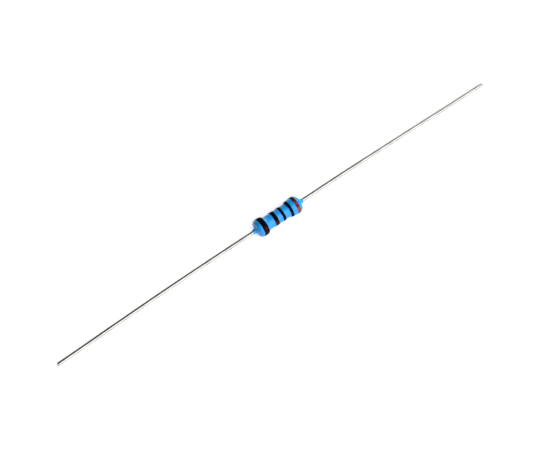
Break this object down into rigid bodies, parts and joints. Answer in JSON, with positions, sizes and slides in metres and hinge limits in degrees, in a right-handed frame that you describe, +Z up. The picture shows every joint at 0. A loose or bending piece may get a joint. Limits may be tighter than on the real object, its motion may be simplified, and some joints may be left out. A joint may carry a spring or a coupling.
{
  "type": "axial resistor",
  "caption": "Metal-film resistor with a glossy blue dog-bone body, printed brown and black colour bands and long tinned wire leads with a slight bend.",
  "frame": {"origin": "on the surface that the resistor lies on, under the middle of its body", "axes": "+X along the body's axis, towards the end with the first value band; +Z up"},
  "size_m": [0.064, 0.0024, 0.0024],
  "materials": {
    "ceramic": "matte",
    "metal_film": "satin",
    "cap_metal": "satin",
    "tinned_wire": "polished",
    "blue_lacquer": "gloss",
    "brown_ink": "satin",
    "black_ink": "satin"
  },
  "bodies": {
    "root": {"ceramic_core": "ceramic", "resistive_film": "metal_film", "insulating_coat": "blue_lacquer", "left_end_cap": "cap_metal", "left_lead_wire": "tinned_wire", "right_end_cap": "cap_metal", "right_lead_wire": "tinned_wire", "first_band_brown": "brown_ink", "second_band_black": "black_ink", "third_band_black": "black_ink", "multiplier_band_brown": "brown_ink", "tolerance_band_brown": "brown_ink"}
  },
  "joints": []
}
